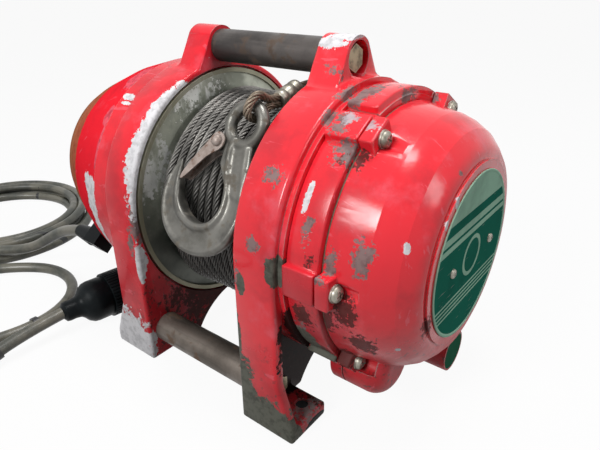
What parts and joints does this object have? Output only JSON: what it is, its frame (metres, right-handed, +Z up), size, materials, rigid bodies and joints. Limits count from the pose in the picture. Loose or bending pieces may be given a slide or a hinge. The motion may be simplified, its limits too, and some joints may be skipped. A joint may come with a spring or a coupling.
{
  "type": "electric winch",
  "caption": "Portable electric winch: cast red frames carry a geared rope drum between motor and gear case, with a handle, a latched hook on the wire rope and a power cord.",
  "frame": {"origin": "centre of the four foot holes, on the floor", "axes": "+X along the drum towards the gear side, +Y to the back, +Z up"},
  "size_m": [0.7408, 0.4926, 0.2685],
  "materials": {
    "red_enamel": "gloss enamel, worn at edges",
    "tube_steel": "dull grey-brown",
    "plated_steel": "dirty zinc plate",
    "bare_steel": "machined steel",
    "flange_steel": "dull mottled grey",
    "wire_rope": "greasy strand",
    "forged_steel": "satin forged",
    "latch_sheet": "rusty sheet",
    "green_plate": "printed",
    "green_plastic": "gloss",
    "black_rubber": "matt",
    "gasket_fibre": "matt",
    "winding_copper": "varnished",
    "capacitor_case": "matt",
    "cord_jacket": "matt",
    "plug_brass": "plain",
    "black_nylon": "matt"
  },
  "bodies": {
    "winch": {"motor_side_frame": "red_enamel", "gear_side_frame": "red_enamel", "motor_cover": "red_enamel", "gear_case": "red_enamel", "gear_cover": "red_enamel", "motor_end_bell": "red_enamel", "handle_tube": "tube_steel", "front_tie_tube": "tube_steel", "rear_tie_tube": "tube_steel", "tie_bolts": "plated_steel", "tie_nuts": "plated_steel", "tie_washers": "plated_steel", "cover_screws": "plated_steel", "cover_screw_washers": "plated_steel", "nameplate_screws": "plated_steel", "brake_coil_screws": "plated_steel", "rope_ferrule": "plated_steel", "drum_bearings": "bare_steel", "layshaft_bearings": "bare_steel", "motor_bearings": "bare_steel", "stator_core": "bare_steel", "motor_bulkhead": "bare_steel", "rope_tail": "wire_rope", "nameplate": "green_plate", "filler_plug": "green_plastic", "cable_gland": "black_rubber", "shaft_seal": "black_rubber", "plug_body": "black_rubber", "plug_collar": "black_rubber", "cover_gasket": "gasket_fibre", "stator_windings": "winding_copper", "brake_coil": "winding_copper", "motor_capacitor": "capacitor_case", "cord_lead": "cord_jacket", "cord_coil": "cord_jacket", "cord_tail": "cord_jacket", "plug_pins": "plug_brass", "cable_ties": "black_nylon"},
    "drum": {"drum_barrel": "bare_steel", "motor_side_flange": "flange_steel", "gear_side_flange": "flange_steel", "wound_rope": "wire_rope", "drum_shaft": "bare_steel", "drum_gear": "bare_steel", "gear_retaining_ring": "plated_steel"},
    "layshaft": {"layshaft": "bare_steel", "layshaft_wheel": "bare_steel"},
    "rotor": {"motor_shaft": "bare_steel", "rotor_core": "bare_steel", "motor_pinion": "bare_steel", "brake_disc": "bare_steel"},
    "hook": {"hook": "forged_steel", "latch_pin": "forged_steel", "latch_spring": "latch_sheet"},
    "latch": {"hook_latch": "latch_sheet"}
  },
  "joints": [
    {"name": "drum_spin", "type": "hinge", "parent": "winch", "child": "drum", "pos_m": [0, 0, 0.133], "axis": [1, 0, 0], "continuous": true},
    {"name": "layshaft_spin", "type": "hinge", "parent": "winch", "child": "layshaft", "pos_m": [0.115, 0, 0.178], "axis": [1, 0, 0], "continuous": true},
    {"name": "rotor_spin", "type": "hinge", "parent": "winch", "child": "rotor", "pos_m": [0, 0, 0.133], "axis": [1, 0, 0], "continuous": true},
    {"name": "hook_swing", "type": "hinge", "parent": "winch", "child": "hook", "pos_m": [0.03729, -0.05943, 0.22551], "axis": [-0.9455, 0.1528, 0.2875], "range_deg": [0, 70]},
    {"name": "latch_pivot", "type": "hinge", "parent": "hook", "child": "latch", "pos_m": [0.01487, -0.07268, 0.20057], "axis": [0, -0.8829, 0.4695], "range_deg": [0, 22], "stiffness_Nm_per_rad": 0.05, "springref_deg": -22.92}
  ],
  "couplings": [
    {"joint": "layshaft_spin", "follows": "drum_spin", "ratio": -5},
    {"joint": "rotor_spin", "follows": "drum_spin", "ratio": 25}
  ]
}
